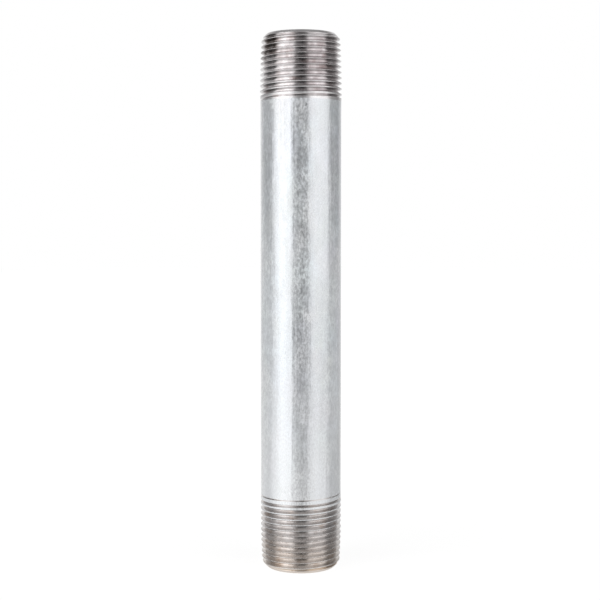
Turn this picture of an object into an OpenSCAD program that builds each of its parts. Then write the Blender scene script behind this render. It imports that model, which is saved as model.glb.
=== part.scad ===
// Galvanised steel pipe nipple with a tapered pipe thread on each end.
// Z runs along the pipe. The origin is the centre of the lower end face. Lengths are in millimetres.

/* [Pipe] */
// Length from end face to end face
nipple_len = 177.8; // [80:0.1:300]
// Outside diameter of the bare steel pipe
pipe_od = 26.67; // [26.5:0.01:26.9]
// Wall thickness of the bare steel pipe
wall = 2.87; // [2.6:0.01:3]
// Length and depth of the reamed bevel at each mouth of the bore
ream = 0.4; // [0.2:0.05:0.5]

/* [Pipe thread] */
// Threads in one inch
threads_per_inch = 14; // [14:0.5:16]
// Pitch diameter at the end face
end_pitch_dia = 24.579; // [24.5:0.001:24.7]
// Axial length in which the diameter grows by 1
taper = 16; // [15:0.5:18]
// Depth of the thread as a share of the pitch
depth_share = 0.8; // [0.7:0.01:0.8]
// Length of the upper thread, with its run-out
upper_thread_len = 22.2; // [18:0.1:26]
// Length of the lower thread, with its run-out
lower_thread_len = 25.2; // [18:0.1:26]
// Pitches over which the upper groove runs out into the barrel
upper_run_out_turns = 1.4; // [1.2:0.1:4]
// Pitches over which the lower groove runs out into the barrel
lower_run_out_turns = 2.4; // [1.2:0.1:4]
// Angle at which the upper thread starts
upper_start = 40; // [0:5:355]
// Angle at which the lower thread starts
lower_start = 250; // [0:5:355]

/* [End chamfer] */
// Axial length of the chamfer that cuts down the first crests
chamfer_len = 1.85; // [1.2:0.05:2.5]
// Height of the chamfer above the thread root at the end face
chamfer_lip = 0.1; // [0.08:0.01:0.2]

/* [Zinc coat] */
// Thickness of the zinc on the barrel and in the bore
coat = 0.1; // [0.08:0.01:0.12]

/* [Weld seam] */
// Angle of the seam around the pipe
seam_angle = -99; // [-180:1:180]
// Width of the weld bead in the bore
bead_width = 2; // [1.5:0.1:3]
// Height of the bead above the bare wall of the bore
bead_height = 0.3; // [0.2:0.05:0.3]

/* [Hidden] */

// Circles and cylinders
$fn = 256;
// Straight steps in one turn of a thread
steps_per_turn = 48;
// Height left on the crest where the last turn meets the barrel, as an axial distance
feather = 0.35;
// Axial width of the sliver on which a ridge starts and ends
sliver = 0.12;
// Share of the pitch that is flat at the crest and at the root of a 60 degree thread
flat_share = 1 - 2 * depth_share * tan(30);
// Overlap that keeps a cut clear of a face
cut = 1;

pitch = 25.4 / threads_per_inch;
pipe_r = pipe_od / 2;
bore_r = pipe_r - wall;
thread_depth = depth_share * pitch;
root_end_r = end_pitch_dia / 2 - thread_depth / 2;
crest_end_r = end_pitch_dia / 2 + thread_depth / 2;
cone_slope = 1 / (2 * taper);
upper_run_out = upper_run_out_turns * pitch;
lower_run_out = lower_run_out_turns * pitch;
half_base = pitch * (1 - flat_share / 2) / 2;
chamfer_r = root_end_r + chamfer_lip;
chamfer_slope = (crest_end_r + chamfer_len * cone_slope - chamfer_r) / chamfer_len;

// The outside of the threaded end as straight lines [radius at the end face, slope]. The lowest line rules:
// the chamfer, the tapered crests, and the pipe's own surface.
ENVELOPE = [[chamfer_r, chamfer_slope], [crest_end_r, cone_slope], [pipe_r, 0]];

// Radius of the thread root at a distance z from the end face.
// Over the last run_out of its length the root rises to the barrel.
function cone_root(z) = root_end_r + z * cone_slope;
function run_out_slope(thread_len, run_out) = (pipe_r - cone_root(thread_len - run_out)) / run_out;
function root(z, thread_len, run_out) =
    z < thread_len - run_out
        ? cone_root(z)
        : pipe_r - (thread_len - z) * run_out_slope(thread_len, run_out);

// Radius where a flank that starts at (z, r) meets the envelope.
// side is 1 for the lower flank and -1 for the upper.
function flank_top(z, r, side) =
    min([for (line = ENVELOPE)
        (line[0] + line[1] * (z - side * r * tan(30))) / (1 - side * line[1] * tan(30))]);

function clamp(value, low, high) = max(low, min(high, value));

// Root corner and crest corner of one flank, as [[r, z] at the root, [r, z] at the crest].
function flank(z, side, thread_len, run_out) =
    let (
        last = thread_len - feather,
        root_r = root(z, thread_len, run_out),
        top_r = flank_top(z, root_r, side),
        top_z = clamp(z + side * (top_r - root_r) * tan(30), 0, last),
        base_z = clamp(z, 0, last),
        // Straight steps cut inside a circle, so the foot stands out just enough to clear the cone under it.
        base_r = root(base_z, thread_len, run_out) / cos(180 / steps_per_turn),
        crest_r = min([for (line = ENVELOPE) line[0] + line[1] * top_z])
    )
    [[base_r, base_z], [crest_r, top_z]];

// The four corners of the ridge's section, centred at a distance z from the end face.
function ridge_section(z, thread_len, run_out) =
    let (
        lower = flank(z - half_base, 1, thread_len, run_out),
        upper = flank(z + half_base, -1, thread_len, run_out)
    )
    [lower[0], lower[1], upper[1], upper[0]];

// A right-hand helical ridge that grows from the end face at z = 0 and fades out at thread_len.
module thread_ridge(thread_len, run_out, start_angle) {
    first_z = sliver - half_base;
    last_z = thread_len - feather + half_base - sliver;
    steps = ceil((last_z - first_z) / pitch * steps_per_turn);
    points = [
        for (i = [0:steps])
            let (
                z = first_z + (last_z - first_z) * i / steps,
                angle = start_angle + 360 * z / pitch
            )
            for (corner = ridge_section(z, thread_len, run_out))
                [corner[0] * cos(angle), corner[0] * sin(angle), corner[1]]
    ];
    sides = [
        for (i = [0:steps - 1])
            for (j = [0:3])
                let (
                    a = 4 * i + j,
                    b = 4 * i + (j + 1) % 4
                )
                for (face = [[a, b, b + 4], [a, b + 4, a + 4]])
                    face
    ];
    end = 4 * steps;
    caps = [[3, 2, 1], [3, 1, 0], [end, end + 1, end + 2], [end, end + 2, end + 3]];
    polyhedron(points, concat(sides, caps));
}

// The plain pipe under the threads: a barrel, a run-out cone and a root cone at each end, and the bore.
module steel_pipe() {
    top = nipple_len;
    color("slategray")
        rotate_extrude()
            polygon([
                [bore_r + ream, 0],
                [cone_root(0), 0],
                [cone_root(lower_thread_len - lower_run_out), lower_thread_len - lower_run_out],
                [pipe_r, lower_thread_len],
                [pipe_r, top - upper_thread_len],
                [cone_root(upper_thread_len - upper_run_out), top - upper_thread_len + upper_run_out],
                [cone_root(0), top],
                [bore_r + ream, top],
                [bore_r, top - ream],
                [bore_r, ream]
            ]);
}

// The flash that the butt weld leaves along the inside of the pipe.
module bead_bar(length) {
    crown = [
        for (side = [-1:0.25:1])
            [bore_r - bead_height * (1 - side * side), side * bead_width / 2]
    ];
    linear_extrude(length)
        intersection() {
            circle(bore_r);
            rotate(seam_angle)
                polygon(concat(crown, [[pipe_r, bead_width / 2], [pipe_r, -bead_width / 2]]));
        }
}

module weld_bead() {
    color("dimgray")
        translate([0, 0, ream])
            bead_bar(nipple_len - 2 * ream);
}

// Turned end for end, so that both threads are right-hand.
module upper_thread() {
    color("dimgray")
        translate([0, 0, nipple_len])
            rotate([180, 0, 0])
                thread_ridge(upper_thread_len, upper_run_out, upper_start);
}

module lower_thread() {
    color("rosybrown")
        thread_ridge(lower_thread_len, lower_run_out, lower_start);
}

// The zinc on the outside, left between the two cut threads.
module barrel_coat() {
    barrel_len = nipple_len - upper_thread_len - lower_thread_len;
    color("lightsteelblue")
        translate([0, 0, lower_thread_len])
            difference() {
                cylinder(h = barrel_len, r = pipe_r + coat);
                translate([0, 0, -cut])
                    cylinder(h = barrel_len + 2 * cut, r = pipe_r);
            }
}

// The zinc in the bore, from one reamed mouth to the other, on each side of the weld bead.
module bore_coat() {
    lining_len = nipple_len - 2 * ream;
    color("gainsboro")
        translate([0, 0, ream])
            difference() {
                cylinder(h = lining_len, r = bore_r);
                translate([0, 0, -cut])
                    cylinder(h = lining_len + 2 * cut, r = bore_r - coat);
                translate([0, 0, -cut])
                    bead_bar(lining_len + 2 * cut);
            }
}

steel_pipe();
weld_bead();
upper_thread();
lower_thread();
barrel_coat();
bore_coat();
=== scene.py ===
"""A galvanised steel pipe nipple: zinc-coated barrel, bare tapered threads, pale studio floor.

Every length is in metres. Z runs up the pipe, and the camera looks along +Y.
"""
import math

import bmesh
import bpy
import numpy as np
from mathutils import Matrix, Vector


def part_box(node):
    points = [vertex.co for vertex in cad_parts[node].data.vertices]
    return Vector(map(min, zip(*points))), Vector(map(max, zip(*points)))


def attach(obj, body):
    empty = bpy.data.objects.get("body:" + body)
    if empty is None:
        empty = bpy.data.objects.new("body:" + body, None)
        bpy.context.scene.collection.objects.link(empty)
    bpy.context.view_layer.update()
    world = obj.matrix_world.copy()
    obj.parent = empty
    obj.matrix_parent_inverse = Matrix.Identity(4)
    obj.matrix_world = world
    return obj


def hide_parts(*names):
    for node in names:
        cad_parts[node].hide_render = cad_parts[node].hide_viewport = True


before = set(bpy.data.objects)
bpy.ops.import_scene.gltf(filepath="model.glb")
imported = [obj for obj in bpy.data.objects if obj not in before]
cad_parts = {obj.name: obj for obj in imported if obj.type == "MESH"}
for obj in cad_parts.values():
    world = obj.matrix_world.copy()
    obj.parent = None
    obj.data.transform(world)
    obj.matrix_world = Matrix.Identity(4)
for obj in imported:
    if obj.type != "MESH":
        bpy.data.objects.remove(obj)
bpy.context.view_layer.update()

# ---------------------------------------------------------------- sizes

MM = 0.001
PER_MM = 1 / MM
TURN = 2 * math.pi

TOP_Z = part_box("steel_pipe")[1].z
PIPE_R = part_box("steel_pipe")[1].x
COAT_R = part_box("barrel_coat")[1].x
LOWER_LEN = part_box("barrel_coat")[0].z
UPPER_LEN = TOP_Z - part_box("barrel_coat")[1].z
BORE_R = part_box("bore_coat")[1].x
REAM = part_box("bore_coat")[0].z
LINING_R = BORE_R - (COAT_R - PIPE_R)

# The 14 threads per inch taper thread.
PITCH = 25.4 * MM / 14
FLANK = math.tan(math.radians(30))
CONE_SLOPE = 1 / 32
END_PITCH_R = 12.2895 * MM
THREAD_DEPTH = 0.8 * PITCH
ROOT_END_R = END_PITCH_R - THREAD_DEPTH / 2
CREST_END_R = END_PITCH_R + THREAD_DEPTH / 2
UPPER_RUN_OUT = 1.4 * PITCH
LOWER_RUN_OUT = 2.4 * PITCH
UPPER_START = math.radians(40)
LOWER_START = math.radians(250)

# The end: a long chamfer, then a narrow bevel down to the flat face.
CHAMFER_LEN = 1.85 * MM
CHAMFER_R = ROOT_END_R + 0.1 * MM
LIP_R = CHAMFER_R - 0.25 * MM

# The cut surface: blunt roots, flat crests, and metal pushed up a little by the die.
ROOT_LIFT = 0.2 * MM
ROOT_ROUND = 0.09 * MM
CREST_ROUND = 0.1 * MM
CHAMFER_ROUND = 0.12 * MM
BARREL_ROUND = 0.01 * MM
CREST_PUSH = 0.1 * MM
PUSH_FROM, PUSH_FULL = 2 * MM, 8 * MM
# The groove is missing from a ring at the very end, and fades in behind it.
RING_END, GROOVE_FULL = 0.7 * MM, 1.5 * MM
# Just before the barrel, the sleeve levels with the zinc coat.
BARREL_FADE = 0.25 * MM
# The crest isn't quite even: how far it drops, in quick waves that come and go slowly round the thread.
WAVER = 0.012 * MM
WAVES_PER_TURN = 7.3
BEAT = 5.1
# Nicks along the crest: how many, where and how wide in turns, and how deep in mm.
NICKS = 26
NICK_TURNS = (0, 13)
NICK_WIDTHS = (0.004, 0.02)
NICK_DEPTHS = (0.03, 0.16)

# The thread sleeves and the core meet at this radius, hidden in the pipe's wall.
SLEEVE_R = 11.0 * MM
SEAM_ANGLE = math.radians(-99)

COLUMNS = 240
MERGE_GAP = 0.0005 * MM
SHARP_ANGLE = math.radians(55)


# ---------------------------------------------------------------- helpers for meshes

def smooth_step(low, high, x):
    """0 below low, 1 above high, and an S-curve between them."""
    t = np.clip((x - low) / (high - low), 0, 1)
    return t * t * (3 - 2 * t)


def soft_min(a, b, blend):
    """The lower of a and b, with the corner between them rounded over about blend."""
    return (a + b - np.sqrt((a - b) ** 2 + blend ** 2)) / 2 + blend / 4


def add_piece(name, points, faces, node, attributes=None):
    """A smooth mesh object that rides on the root body and stands for one CAD node."""
    mesh = bpy.data.meshes.new(name)
    mesh.from_pydata(points.tolist(), [], faces.tolist())
    for key, values in (attributes or {}).items():
        layer = mesh.attributes.new(key, "FLOAT", "POINT")
        layer.data.foreach_set("value", values.astype(np.float32).ravel())
    piece = bpy.data.objects.new(name, mesh)
    bpy.context.scene.collection.objects.link(piece)
    clean(mesh)
    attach(piece, "root")
    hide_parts(node)
    return piece


def clean(mesh):
    """Joins points that coincide and shades the mesh smooth, apart from its sharp edges."""
    work = bmesh.new()
    work.from_mesh(mesh)
    bmesh.ops.remove_doubles(work, verts=work.verts, dist=MERGE_GAP)
    bmesh.ops.dissolve_degenerate(work, edges=work.edges, dist=MERGE_GAP)
    work.to_mesh(mesh)
    work.free()
    mesh.shade_smooth()
    mesh.set_sharp_from_angle(angle=SHARP_ANGLE)
    mesh.update()


def ring_angles():
    return np.arange(COLUMNS) * 2 * math.pi / COLUMNS


def lathe(profile_r, profile_z, closed=True):
    """Points and faces of a profile turned about Z.

    Each row of the profile has one value, or one for each column where it varies round the pipe.
    """
    rows = len(profile_z)
    angle = ring_angles()
    radius = np.broadcast_to(np.reshape(profile_r, (rows, -1)), (rows, COLUMNS))
    height = np.broadcast_to(np.reshape(profile_z, (rows, -1)), (rows, COLUMNS))
    points = np.stack([radius * np.cos(angle), radius * np.sin(angle), height], axis=-1)
    row = np.arange(rows if closed else rows - 1)[:, None]
    column = np.arange(COLUMNS)[None, :]
    next_row = (row + 1) % rows
    next_column = (column + 1) % COLUMNS
    faces = np.stack([
        row * COLUMNS + column,
        row * COLUMNS + next_column,
        next_row * COLUMNS + next_column,
        next_row * COLUMNS + column,
    ], axis=-1)
    return points.reshape(-1, 3), faces.reshape(-1, 4)


# ---------------------------------------------------------------- the threads
# Here z is the distance from the end of the pipe, towards the barrel.

def envelope(z):
    """Outside radius before the grooves are cut: end chamfer, tapered crests, then the barrel."""
    chamfer_slope = (CREST_END_R + CHAMFER_LEN * CONE_SLOPE - CHAMFER_R) / CHAMFER_LEN
    chamfer = CHAMFER_R + z * chamfer_slope
    crests = CREST_END_R + z * CONE_SLOPE + CREST_PUSH * smooth_step(PUSH_FROM, PUSH_FULL, z)
    barrel = np.full_like(z, COAT_R + CREST_PUSH)
    return soft_min(soft_min(chamfer, crests, CHAMFER_ROUND), barrel, BARREL_ROUND)


def root_radius(z, length, run_out):
    """Radius at the bottom of the groove, which runs out into the barrel."""
    full = length - run_out
    cone = ROOT_END_R + ROOT_LIFT + z * CONE_SLOPE
    slope = (COAT_R - ROOT_END_R - ROOT_LIFT - full * CONE_SLOPE) / run_out
    return np.where(z < full, cone, COAT_R - (length - z) * slope)


def phase_samples():
    """Where the profile is sampled across one pitch, finely at the crest, 0, and at the root, 0.5."""
    half = np.array([0, 0.025, 0.045, 0.062, 0.08, 0.1, 0.13, 0.18, 0.24, 0.31, 0.37, 0.415, 0.45, 0.477])
    return np.sort(np.concatenate([half, 1 - half[1:][::-1], [0.5]]))


def crest_damage(crest_turn, first_turn, seed):
    """Depth of the nicks and of the slight waver along the crest, for each total turn count."""
    rng = np.random.default_rng(seed)
    turns = crest_turn - first_turn
    nicks = np.zeros_like(turns)
    for _ in range(NICKS):
        place = rng.uniform(*NICK_TURNS)
        width = rng.uniform(*NICK_WIDTHS)
        nicks += rng.uniform(*NICK_DEPTHS) * MM * np.exp(-((turns - place) / width) ** 2)
    waver = WAVER * np.sin(crest_turn * TURN * WAVES_PER_TURN + seed) * np.sin(crest_turn * BEAT)
    return nicks + np.abs(waver)


def thread_surface(length, run_out, start, zinc_left, seed):
    """The cut surface as points in rows that follow the helix, with zinc and depth at each point.

    zinc is the share of zinc left on the steel. depth runs from 0 on a crest to 1 in a full root.
    """
    phases = phase_samples()
    # The rows start two turns before the end and run past the barrel, so that they cover every column.
    first_turn = -2
    turns = int(length / PITCH) + 6
    row_phase = np.concatenate([first_turn + turn + phases for turn in range(turns)])
    angle = ring_angles()
    wound = row_phase[:, None] + angle[None, :] / TURN
    z = np.clip(PITCH * (wound - start / TURN), 0, length)
    phase = np.broadcast_to((row_phase % 1)[:, None], z.shape)

    outside = envelope(z)
    across = np.abs(phase - 0.5) * PITCH
    blunt = (np.sqrt(across ** 2 + ROOT_ROUND ** 2) - ROOT_ROUND) / FLANK
    groove = root_radius(z, length, run_out) + blunt
    crest_turn = np.round(wound - angle[None, :] / TURN) + angle[None, :] / TURN
    damage = crest_damage(crest_turn, first_turn, seed)
    cut_top = outside - np.where(z > length - run_out, 0, damage)
    radius = soft_min(groove, cut_top, CREST_ROUND)
    uncut_end = 1 - smooth_step(RING_END, GROOVE_FULL, z)
    radius = radius + (cut_top - radius) * uncut_end
    radius = np.minimum(radius, LIP_R + z)
    level_off = smooth_step(length - run_out, length, z)
    radius = np.minimum(radius, COAT_R + CREST_PUSH * (1 - level_off))
    near_barrel = smooth_step(length - BARREL_FADE, length, z)
    radius = radius + (COAT_R - radius) * near_barrel

    # Zinc is left where neither the groove nor the taper has cut the coat.
    uncut = smooth_step(0, 0.05 * MM, groove - outside)
    full_size = smooth_step(-0.02 * MM, 0.03 * MM, CREST_END_R + z * CONE_SLOPE - COAT_R)
    zinc = np.maximum(zinc_left * uncut * full_size, near_barrel)
    depth = np.clip((np.minimum(outside, LIP_R + z) - radius) / THREAD_DEPTH, 0, 1)
    points = np.stack([radius * np.cos(angle), radius * np.sin(angle), z], axis=-1)
    return points, zinc, depth


def thread_sleeve(name, node, length, run_out, start, flipped, zinc_left, seed):
    """The cut thread as one closed sleeve. Its mesh lines follow the helix, so every crest is clean."""
    points, zinc, depth = thread_surface(length, run_out, start, zinc_left, seed)
    per_turn = len(phase_samples())
    row = np.arange(len(points) - per_turn - 1)[:, None]
    column = np.arange(COLUMNS)[None, :]
    wrap = np.where(column == COLUMNS - 1, per_turn, 0)
    next_column = (column + 1) % COLUMNS
    faces = np.stack(np.broadcast_arrays(
        row * COLUMNS + column,
        (row + wrap) * COLUMNS + next_column,
        (row + wrap + 1) * COLUMNS + next_column,
        (row + 1) * COLUMNS + column,
    ), axis=-1).reshape(-1, 4)
    points = points.reshape(-1, 3)
    corner_z = points[faces][:, :, 2]
    past_end = (corner_z <= 0).all(axis=1) | (corner_z >= length).all(axis=1)

    # The end face and the hidden inner wall close the sleeve.
    shell_r = np.array([LIP_R, SLEEVE_R, SLEEVE_R, COAT_R])
    shell_z = np.array([0, 0, length, length])
    shell_points, shell_faces = lathe(shell_r, shell_z, closed=False)
    used = np.concatenate([faces[~past_end], shell_faces[:, ::-1] + len(points)])
    everything = np.concatenate([points, shell_points])
    if flipped:
        everything = everything * [1, -1, -1] + [0, 0, TOP_Z]
    keep, packed = np.unique(used, return_inverse=True)
    on_shell = np.zeros(len(shell_points))
    values = {
        "zinc": np.concatenate([zinc.ravel(), on_shell])[keep],
        "depth": np.concatenate([depth.ravel(), on_shell])[keep],
    }
    return add_piece(name, everything[keep], packed.reshape(used.shape), node, values)


def upper_thread_cut():
    return thread_sleeve(
        "upper_thread_cut", "upper_thread", UPPER_LEN, UPPER_RUN_OUT, UPPER_START,
        flipped=True, zinc_left=0.2, seed=3,
    )


def lower_thread_cut():
    return thread_sleeve(
        "lower_thread_cut", "lower_thread", LOWER_LEN, LOWER_RUN_OUT, LOWER_START,
        flipped=False, zinc_left=1.0, seed=5,
    )


# ---------------------------------------------------------------- pipe, zinc and weld

def pipe_core():
    """The plain steel under the threads and the zinc, with the reamed mouths."""
    low, high = LOWER_LEN, TOP_Z - UPPER_LEN
    mouth_r = BORE_R + REAM
    profile = [
        (mouth_r, 0), (SLEEVE_R, 0), (SLEEVE_R, low), (PIPE_R, low), (PIPE_R, high),
        (SLEEVE_R, high), (SLEEVE_R, TOP_Z), (mouth_r, TOP_Z), (BORE_R, TOP_Z - REAM), (BORE_R, REAM),
    ]
    ring_r, ring_z = np.array(profile).T
    points, faces = lathe(ring_r, ring_z)
    return add_piece("pipe_core", points, faces, "steel_pipe")


def ripple(angle, z, rng, count, turns, waves, streak):
    """A sum of sine waves round the pipe and along it, in the range -1 to 1."""
    total = np.zeros(np.broadcast(angle, z).shape)
    for _ in range(count):
        round_pipe = rng.integers(turns[0], turns[1] + 1)
        along = rng.uniform(*waves) * rng.choice([-1, 1])
        total = total + np.sin(round_pipe * angle + along * z / streak + rng.uniform(0, TURN))
    return total / count


def zinc_barrel():
    """The hot-dip coat: slightly uneven, with slow runs down its length and a faint line over the weld."""
    rng = np.random.default_rng(11)
    low, high = LOWER_LEN, TOP_Z - UPPER_LEN
    rows = 360
    slow_depth, fine_depth, seam_width = 0.012 * MM, 0.004 * MM, 0.35 * MM
    z = np.linspace(low, high, rows)[:, None]
    angle = ring_angles()[None, :]
    slow = ripple(angle, z, rng, 14, (2, 9), (0.5, 3), 40 * MM)
    fine = ripple(angle, z, rng, 30, (10, 40), (2, 12), 20 * MM)
    drop = slow_depth * (1 + slow) + fine_depth * (1 + fine)
    off_seam = np.abs((angle - SEAM_ANGLE + math.pi) % TURN - math.pi) * COAT_R
    seam_depth = (0.028 + 0.014 * np.sin(z / (7 * MM)) * np.sin(z / (17 * MM))) * MM
    drop = drop + seam_depth * np.exp(-(off_seam / seam_width) ** 2)
    at_ends = smooth_step(0, 1.2 * MM, np.minimum(z - low, high - z))
    outer = COAT_R - drop * at_ends
    ring_r = np.concatenate([outer, np.full((2, COLUMNS), PIPE_R)])
    ring_z = np.concatenate([z[:, 0], [high, low]])
    points, faces = lathe(ring_r, ring_z)
    return add_piece("zinc_barrel", points, faces, "barrel_coat")


def zinc_lining():
    """The rougher coat in the bore, with runs and lumps. It never narrows the bore."""
    rng = np.random.default_rng(12)
    rows = 240
    lump_depth = 0.025 * MM
    z = np.linspace(TOP_Z - REAM, REAM, rows)[:, None]
    angle = ring_angles()[None, :]
    lumps = ripple(angle, z, rng, 30, (3, 24), (1, 9), 20 * MM)
    inner = LINING_R + lump_depth * (1 + lumps)
    ring_r = np.concatenate([np.full((2, COLUMNS), BORE_R), inner])
    ring_z = np.concatenate([[REAM, TOP_Z - REAM], z[:, 0]])
    points, faces = lathe(ring_r, ring_z)
    return add_piece("zinc_lining", points, faces, "bore_coat")


def weld_flash():
    """The ridge that the weld leaves along the bore, uneven in height and width."""
    rng = np.random.default_rng(13)
    rows, across = 400, 14
    z = np.linspace(REAM, TOP_Z - REAM, rows)
    wobble = sum(np.sin(z / (length * MM) + rng.uniform(0, 6)) for length in (0.7, 1.3, 2.9, 7)) / 4
    half_width = (0.85 + 0.12 * wobble) * MM
    height = (0.24 + 0.05 * wobble) * MM
    side = np.linspace(-1, 1, across)
    offset = side[None, :] * half_width[:, None]
    rise = height[:, None] * (1 - side[None, :] ** 2)
    angle = SEAM_ANGLE + offset / BORE_R
    top = BORE_R - rise
    back = np.full_like(top, BORE_R + 0.05 * MM)
    radius = np.concatenate([top, back[:, ::-1]], axis=1)
    turn = np.concatenate([angle, angle[:, ::-1]], axis=1)
    along = np.broadcast_to(z[:, None], radius.shape)
    points = np.stack([radius * np.cos(turn), radius * np.sin(turn), along], axis=-1)
    ring = radius.shape[1]
    last = (rows - 1) * ring
    faces = []
    for i in range(rows - 1):
        for j in range(ring):
            k = (j + 1) % ring
            faces.append([i * ring + j, (i + 1) * ring + j, (i + 1) * ring + k, i * ring + k])
    for j in range(across - 1):
        k = ring - 1 - j
        faces.append([j, j + 1, k - 1, k])
        faces.append([last + k, last + k - 1, last + j + 1, last + j])
    return add_piece("weld_flash", points.reshape(-1, 3), np.array(faces), "weld_bead")


# ---------------------------------------------------------------- helpers for materials

class Nodes:
    """A small wrapper that makes nodes and joins them."""

    def __init__(self, tree):
        self.tree = tree
        tree.nodes.clear()

    def add(self, kind, inputs=None, **settings):
        node = self.tree.nodes.new(kind)
        for key, value in settings.items():
            setattr(node, key, value)
        for key, value in (inputs or {}).items():
            if isinstance(value, bpy.types.NodeSocket):
                self.tree.links.new(value, node.inputs[key])
            else:
                node.inputs[key].default_value = value
        return node

    def math(self, operation, a, b=0.0, c=0.0):
        return self.add("ShaderNodeMath", {0: a, 1: b, 2: c}, operation=operation).outputs[0]

    def spread(self, value, low, high, to_low=0.0, to_high=1.0):
        """Maps low..high to to_low..to_high with soft ends."""
        node = self.add("ShaderNodeMapRange", {
            "Value": value, "From Min": low, "From Max": high, "To Min": to_low, "To Max": to_high,
        }, interpolation_type="SMOOTHSTEP")
        return node.outputs["Result"]

    def position(self):
        """Object coordinates, in metres."""
        return self.add("ShaderNodeTexCoord").outputs["Object"]

    def height(self):
        """How far up the pipe a point is, in metres."""
        return self.add("ShaderNodeSeparateXYZ", {"Vector": self.position()}).outputs[2]

    def place(self, across, along):
        """Object coordinates scaled so that a pattern changes this often per mm across and along the pipe."""
        scale = (across * PER_MM, across * PER_MM, along * PER_MM)
        return self.add("ShaderNodeMapping", {"Vector": self.position(), "Scale": scale}).outputs["Vector"]

    def noise(self, across, along, detail=4.0, rough=0.55):
        node = self.add("ShaderNodeTexNoise", {
            "Vector": self.place(across, along), "Scale": 1.0, "Detail": detail, "Roughness": rough,
        })
        return node.outputs["Fac"]

    def cells(self, across, along, feature, output):
        place = self.place(across, along)
        node = self.add("ShaderNodeTexVoronoi", {"Vector": place, "Scale": 1.0}, feature=feature)
        return node.outputs[output]

    def blend(self, factor, a, b, mode="MIX"):
        node = self.add("ShaderNodeMix", data_type="RGBA", blend_type=mode)
        for socket, value in ((0, factor), (6, a), (7, b)):
            if isinstance(value, bpy.types.NodeSocket):
                self.tree.links.new(value, node.inputs[socket])
            else:
                node.inputs[socket].default_value = value if socket == 0 else (*value, 1)
        return node.outputs[2]

    def attribute(self, name):
        return self.add("ShaderNodeAttribute", attribute_name=name).outputs["Fac"]

    def bump(self, height, strength, distance, normal=None):
        inputs = {"Height": height, "Strength": strength, "Distance": distance}
        if normal is not None:
            inputs["Normal"] = normal
        return self.add("ShaderNodeBump", inputs).outputs["Normal"]


def new_material(name):
    material = bpy.data.materials.new(name)
    material.use_nodes = True
    return material, Nodes(material.node_tree)


def finish_material(n, shader):
    n.add("ShaderNodeOutputMaterial", {"Surface": shader})


def grey(value):
    return (value, value, value)


# ---------------------------------------------------------------- zinc

# Between these heights the zinc turns paler and duller towards the lower end.
PALE_FULL, PALE_FROM = 0.10 * TOP_Z, 0.45 * TOP_Z


def zinc_patterns(n):
    """The patterns that colour, relief and gloss share, from fine grain to slow patches and long streaks."""
    return {
        "grain": n.noise(1.5, 0.8, detail=5, rough=0.65),
        "spots": n.noise(0.5, 0.4, detail=3, rough=0.6),
        "lumps": n.noise(0.34, 0.26, detail=4, rough=0.65),
        "patches": n.noise(0.12, 0.06, detail=3),
        "streaks": n.noise(0.8, 0.03, detail=4, rough=0.6),
    }


def zinc_colour(n, pattern, height):
    """Cool pale grey with a faint spangle, darker grains and lumps, and a few dark pits."""
    patches = n.spread(pattern["patches"], 0.35, 0.65)
    cool = n.blend(patches, (0.85, 0.885, 0.93), (0.885, 0.905, 0.92))
    tint = n.blend(0.18, cool, n.cells(0.22, 0.12, "SMOOTH_F1", "Color"), "SOFT_LIGHT")
    streaked = n.blend(n.spread(pattern["streaks"], 0.40, 0.75, 0, 0.3), tint, (0.67, 0.69, 0.72))
    clouded = n.blend(n.spread(pattern["lumps"], 0.60, 0.42, 0, 0.5), streaked, (0.675, 0.695, 0.72))
    mottled = n.blend(n.spread(pattern["grain"], 0.58, 0.42, 0, 0.42), clouded, (0.595, 0.615, 0.635))
    paler = n.blend(n.spread(height, PALE_FROM, PALE_FULL, 0, 0.6), mottled, (0.95, 0.965, 0.98))
    return n.blend(n.spread(pattern["spots"], 0.27, 0.22), paler, (0.36, 0.38, 0.39))


def zinc_relief(n, pattern):
    """Fine crystals on slow waves, crossed by long drawn lines and streaks."""
    grain = n.math("MULTIPLY", pattern["grain"], 0.6)
    crystals = n.math("MULTIPLY", n.cells(1.3, 1.0, "F1", "Distance"), 0.4)
    skin = n.bump(n.math("ADD", grain, crystals), 1.0, 0.035 * MM)
    rolling = n.bump(n.noise(0.5, 0.07, detail=2, rough=0.5), 1.0, 0.07 * MM, skin)
    lined = n.bump(n.noise(2.0, 0.012, detail=2, rough=0.5), 1.0, 0.022 * MM, rolling)
    return n.bump(pattern["streaks"], 1.0, 0.02 * MM, lined)


def zinc_mirror(n, pattern, height, mottle):
    """How much of the surface mirrors the room. It varies with the patterns, and evens out at a slant."""
    patchy = n.spread(pattern["patches"], 0.38, 0.60, 0.55 * mottle, 1.3 * mottle)
    mirror = n.math("MULTIPLY", n.spread(pattern["grain"], 0.38, 0.62, 0.15, -0.12), patchy)
    for share in (
        0.23,
        n.spread(pattern["lumps"], 0.40, 0.62, 0.24, 0.09),
        n.spread(pattern["patches"], 0.36, 0.60, 0.12, -0.07),
        n.spread(pattern["streaks"], 0.38, 0.60, -0.03, 0.09),
    ):
        mirror = n.math("ADD", mirror, share)
    facing = n.add("ShaderNodeLayerWeight", {"Blend": 0.5}).outputs["Facing"]
    aslant = n.spread(facing, 0.12, 0.40, 0, 0.7)
    to_even = n.math("MULTIPLY", n.math("SUBTRACT", 0.38, mirror), aslant)
    mirror = n.math("ADD", mirror, to_even)
    return n.math("MULTIPLY", mirror, n.spread(height, PALE_FULL, PALE_FROM, 0.80, 1.0))


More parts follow.
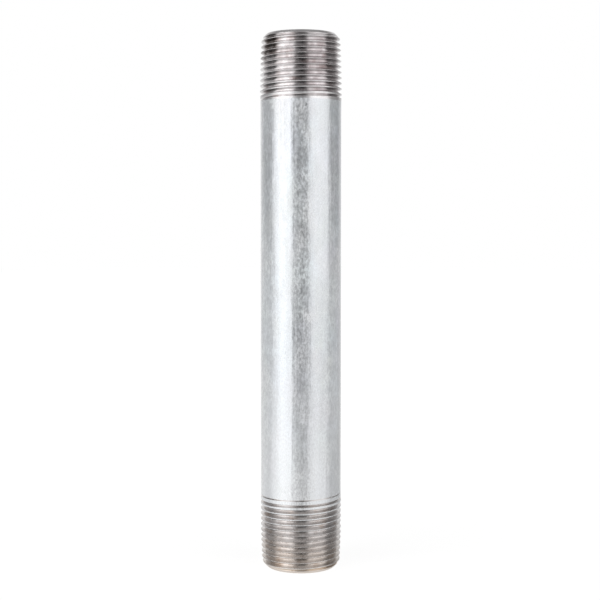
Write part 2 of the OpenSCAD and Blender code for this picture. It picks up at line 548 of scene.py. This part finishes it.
def zinc_shader(n, dull=0.0, mottle=1.0):
    """Hot-dip zinc: a bright skin with fine mottling, pits and streaks along the pipe."""
    pattern = zinc_patterns(n)
    height = n.height()
    return n.add("ShaderNodeBsdfPrincipled", {
        "Base Color": zinc_colour(n, pattern, height),
        "Metallic": zinc_mirror(n, pattern, height, mottle),
        "Roughness": n.math("ADD", n.spread(pattern["grain"], 0.3, 0.7, 0.12, 0.18), dull),
        "Normal": zinc_relief(n, pattern),
    }).outputs["BSDF"]


def zinc_material(name, dull=0.0, mottle=1.0):
    material, n = new_material(name)
    finish_material(n, zinc_shader(n, dull, mottle))
    return material


# ---------------------------------------------------------------- bare steel

def near_point(n, place, size):
    """1 within half of size from a place on the object, falling to 0 at size."""
    distance = n.add("ShaderNodeVectorMath", {0: n.position(), 1: place}, operation="DISTANCE")
    return n.spread(distance.outputs["Value"], size, 0.5 * size)


def steel_stains(n, base, smears, stain, blots):
    """Brown clouds of oil, a tan tint at the lower end, and the blots."""
    height = n.height()
    clouds = n.noise(0.16, 0.3, detail=4, rough=0.6)
    stained = n.blend(n.spread(clouds, 0.52, 0.70, 0, 0.5), base, stain)
    stained = n.blend(n.spread(height, 14 * MM, 3 * MM, 0, 0.25), stained, (0.74, 0.62, 0.50))
    stained = n.blend(n.spread(height, 2.2 * MM, 0.9 * MM, 0, 0.85), stained, (0.74, 0.60, 0.47))
    for place, size, amount, tone in blots:
        uneven = n.spread(smears, 0.35, 0.55, 0.5 * amount, amount)
        grime = n.math("MULTIPLY", near_point(n, place, size), uneven)
        stained = n.blend(grime, stained, tone)
    return stained


def cut_steel_material(name, bright, dark, stain, rough, shade, blots=(), with_zinc=True):
    """Bare die-cut steel: tool marks round the thread, crests worn and painted brighter as a highlight,
    painted shade darkening the groove flanks, oil and leftover zinc.
    """
    material, n = new_material(name)
    marks = n.noise(0.04, 3.4, detail=5, rough=0.75)
    smears = n.noise(0.35, 0.5, detail=5, rough=0.6)
    depth = n.attribute("depth")
    base = n.blend(n.spread(smears, 0.35, 0.7), bright, dark)
    marked = n.blend(n.spread(marks, 0.45, 0.75, 0, 0.6), base, tuple(0.5 * c for c in dark))
    stained = steel_stains(n, marked, smears, stain, blots)
    # Partly real wear and partly a painted highlight: crests turn toward the bright tone and lose their
    # stains.
    worn_and_highlit_crests = n.blend(n.spread(depth, 0.03, 0.12, 0.5, 0), stained, bright)
    # Painted shade: the colour is darkened on the groove flanks, where shade falls between crest and root.
    painted_flank_shade = n.math("MULTIPLY", n.spread(depth, 0.06, 0.24), n.spread(depth, 0.40, 0.72, shade, 0))
    colour = n.blend(painted_flank_shade, worn_and_highlit_crests, tuple(0.35 * c for c in dark))
    worn = n.spread(depth, 0.03, 0.12, 0.26, 0)
    uneven = n.math("ADD", n.spread(smears, 0.3, 0.7, rough - 0.05, rough + 0.08), worn)
    around = n.add("ShaderNodeTangent", direction_type="RADIAL", axis="Z").outputs["Tangent"]
    steel = n.add("ShaderNodeBsdfPrincipled", {
        "Base Color": colour, "Metallic": 1.0, "Roughness": uneven,
        "Anisotropic": 0.5, "Anisotropic Rotation": 0.25, "Tangent": around,
        "Normal": n.bump(marks, 0.6, 0.03 * MM),
    }).outputs["BSDF"]
    if with_zinc:
        mix = {0: n.attribute("zinc"), 1: steel, 2: zinc_shader(n)}
        steel = n.add("ShaderNodeMixShader", mix).outputs["Shader"]
    finish_material(n, steel)
    return material


def upper_steel():
    """Bright steel with nearly black oil at the left and a brown haze at the right."""
    # Place, size, strength and colour of each blot.
    blots = [
        ((-13.0 * MM, -2.6 * MM, TOP_Z - 7.0 * MM), 3.8 * MM, 0.95, (0.12, 0.085, 0.075)),
        ((-10.2 * MM, -6.6 * MM, TOP_Z - 3.8 * MM), 4.6 * MM, 0.80, (0.17, 0.125, 0.10)),
        ((11.0 * MM, -8.0 * MM, TOP_Z - 12 * MM), 16 * MM, 0.35, (0.50, 0.44, 0.45)),
    ]
    return cut_steel_material(
        "upper_steel", bright=(0.90, 0.88, 0.885), dark=(0.72, 0.69, 0.69), stain=(0.36, 0.27, 0.25),
        rough=0.12, shade=0.3, blots=blots,
    )


def lower_steel():
    """Duller and warmer steel."""
    return cut_steel_material(
        "lower_steel", bright=(0.80, 0.78, 0.775), dark=(0.70, 0.665, 0.65), stain=(0.52, 0.42, 0.35),
        rough=0.22, shade=0.18,
    )


def core_steel():
    """The inner end faces and the reamed mouths."""
    return cut_steel_material(
        "core_steel", bright=(0.80, 0.78, 0.76), dark=(0.60, 0.57, 0.55), stain=(0.38, 0.30, 0.24),
        rough=0.25, shade=0.3, with_zinc=False,
    )


# ---------------------------------------------------------------- studio

# Bearing from the camera in degrees, positive to its right, then brightness.
# The first list is the light level with the pipe, and the second is the light from below.
LEVEL_LIGHT = [
    (-180, 0.42), (-156, 0.36), (-140, 0.20), (-122, 0.04), (-96, 0.03), (-76, 0.60), (-62, 0.80),
    (-46, 0.79), (-32, 0.68), (-14, 0.10), (0, 0.01), (13, 0.05), (30, 0.54), (44, 0.61), (79, 0.55),
    (98, 0.04), (126, 0.06), (146, 0.23), (160, 0.33), (180, 0.42),
]
LOW_LIGHT = [
    (-180, 0.40), (-140, 0.27), (-104, 0.19), (-80, 0.42), (-60, 0.60), (-32, 0.57), (-14, 0.13),
    (0, 0.11), (14, 0.13), (30, 0.37), (44, 0.43), (72, 0.36), (94, 0.10), (138, 0.12), (160, 0.28),
    (180, 0.40),
]
STUDIO_REACH = 3.0
STUDIO_SIDES = 64


def bearing_ramp(n, share, stops):
    """A soft grey ramp round the horizon. share runs from 0 to 1 as the bearing goes from -180 to 180."""
    ramp = n.add("ShaderNodeValToRGB", {"Fac": share})
    ramp.color_ramp.interpolation = "EASE"
    elements = ramp.color_ramp.elements
    elements.remove(elements[-1])
    for index, (degrees, value) in enumerate(stops):
        place = (degrees + 180) / 360
        element = elements[0] if index == 0 else elements.new(place)
        element.position = place
        element.color = (*grey(value), 1)
    return ramp.outputs["Color"]


def studio_world():
    """Two tall soft lights, one on each side of the camera, a pale wall far behind, and dark gaps."""
    world = bpy.data.worlds.new("studio")
    bpy.context.scene.world = world
    world.use_nodes = True
    n = Nodes(world.node_tree)
    direction = n.add("ShaderNodeTexCoord").outputs["Generated"]
    axes = n.add("ShaderNodeSeparateXYZ", {"Vector": direction})
    x, y, z = (axes.outputs[i] for i in range(3))
    bearing = n.math("ARCTAN2", x, n.math("MULTIPLY", y, -1.0))
    share = n.math("MULTIPLY_ADD", bearing, 1 / TURN, 0.5)
    level = bearing_ramp(n, share, LEVEL_LIGHT)
    around = n.blend(n.spread(z, 0.02, -0.17), level, bearing_ramp(n, share, LOW_LIGHT))

    # Vague shapes show in the dark gaps, and a faint glow just below the horizon lights both sides.
    clutter = n.add("ShaderNodeTexNoise", {"Vector": direction, "Scale": 14.0, "Detail": 3.0}).outputs["Fac"]
    lit = n.blend(1.0, around, n.spread(clutter, 0.47, 0.60, 0, 0.12), "LIGHTEN")
    low_belt = n.math("MULTIPLY", n.spread(z, 0.03, -0.03), n.spread(z, -0.20, -0.14))
    at_sides = n.spread(n.math("ABSOLUTE", bearing), 1.1, 1.5, 0, 0.7)
    glow = n.blend(1.0, lit, grey(0.26), "LIGHTEN")
    lit = n.blend(n.math("MULTIPLY", low_belt, at_sides), lit, glow)

    # The lights are dimmer high up, the ground is an even grey and straight up it is dark.
    dimmed = n.blend(1.0, level, grey(0.45), "MULTIPLY")
    lit = n.blend(n.spread(z, 0.45, 0.80), lit, dimmed)
    lit = n.blend(n.spread(z, -0.45, -0.80), lit, grey(0.38))
    lit = n.blend(n.spread(z, 0.88, 0.97), lit, grey(0.08))
    background = n.add("ShaderNodeBackground", {"Color": lit, "Strength": 2.4}).outputs["Background"]
    n.add("ShaderNodeOutputWorld", {"Surface": background})


def stage_object(name, points, faces, material):
    """A part of the room that the camera sees and the pipe doesn't reflect."""
    mesh = bpy.data.meshes.new(name)
    mesh.from_pydata(points, [], faces)
    mesh.materials.append(material)
    piece = bpy.data.objects.new(name, mesh)
    bpy.context.scene.collection.objects.link(piece)
    for flag in ("visible_glossy", "visible_diffuse", "visible_transmission"):
        setattr(piece, flag, False)
    return piece


def pale_material(name, glow, diffuse=0.0):
    """White that glows by itself, with some diffuse paint where a shadow should show."""
    material, n = new_material(name)
    light = n.add("ShaderNodeEmission", {"Color": (*grey(1), 1), "Strength": glow}).outputs["Emission"]
    if diffuse:
        paint = n.add("ShaderNodeBsdfDiffuse", {"Color": (*grey(diffuse), 1)}).outputs["BSDF"]
        light = n.add("ShaderNodeAddShader", {0: light, 1: paint}).outputs["Shader"]
    finish_material(n, light)
    return material


def studio():
    """The lighting, a round pale floor, and a pale wall with a ceiling round it."""
    studio_world()
    angles = np.arange(STUDIO_SIDES) * 2 * math.pi / STUDIO_SIDES
    ring = [(STUDIO_REACH * math.cos(a), STUDIO_REACH * math.sin(a)) for a in angles]
    floor_points = [(x, y, 0) for x, y in ring]
    floor_face = tuple(range(STUDIO_SIDES))
    stage_object("floor", floor_points, [floor_face], pale_material("pale_floor", 0.86, 0.3))
    wall_points = [(x, y, z) for z in (-STUDIO_REACH, STUDIO_REACH) for x, y in ring]
    wall_faces = []
    for i in range(STUDIO_SIDES):
        j = (i + 1) % STUDIO_SIDES
        wall_faces.append((i, j, STUDIO_SIDES + j, STUDIO_SIDES + i))
    wall_faces.append(tuple(range(STUDIO_SIDES, 2 * STUDIO_SIDES)))
    wall = stage_object("backdrop", wall_points, wall_faces, pale_material("pale_wall", 1.0))
    wall.visible_shadow = False


def camera():
    """Just above the middle of the pipe, tilted a little down, with a short telephoto lens."""
    data = bpy.data.cameras.new("camera")
    data.lens = 74.1
    data.sensor_width = 36
    data.clip_end = 20
    piece = bpy.data.objects.new("camera", data)
    bpy.context.scene.collection.objects.link(piece)
    aim = Vector((-0.3 * MM, 0, TOP_Z / 2 + 0.9 * MM))
    piece.location = Vector((0, -31 * PIPE_R, TOP_Z / 2 + 1.87 * PIPE_R))
    piece.rotation_euler = (aim - piece.location).to_track_quat("-Z", "Y").to_euler()
    bpy.context.scene.camera = piece


# ---------------------------------------------------------------- the model

camera()
studio()
bpy.context.scene.view_settings.view_transform = "Standard"

bore_zinc = zinc_material("bore_zinc", dull=0.12, mottle=0.45)
looks = [
    (pipe_core(), core_steel()),
    (upper_thread_cut(), upper_steel()),
    (lower_thread_cut(), lower_steel()),
    (zinc_barrel(), zinc_material("zinc")),
    (zinc_lining(), bore_zinc),
    (weld_flash(), bore_zinc),
]
for piece, material in looks:
    piece.data.materials.clear()
    piece.data.materials.append(material)
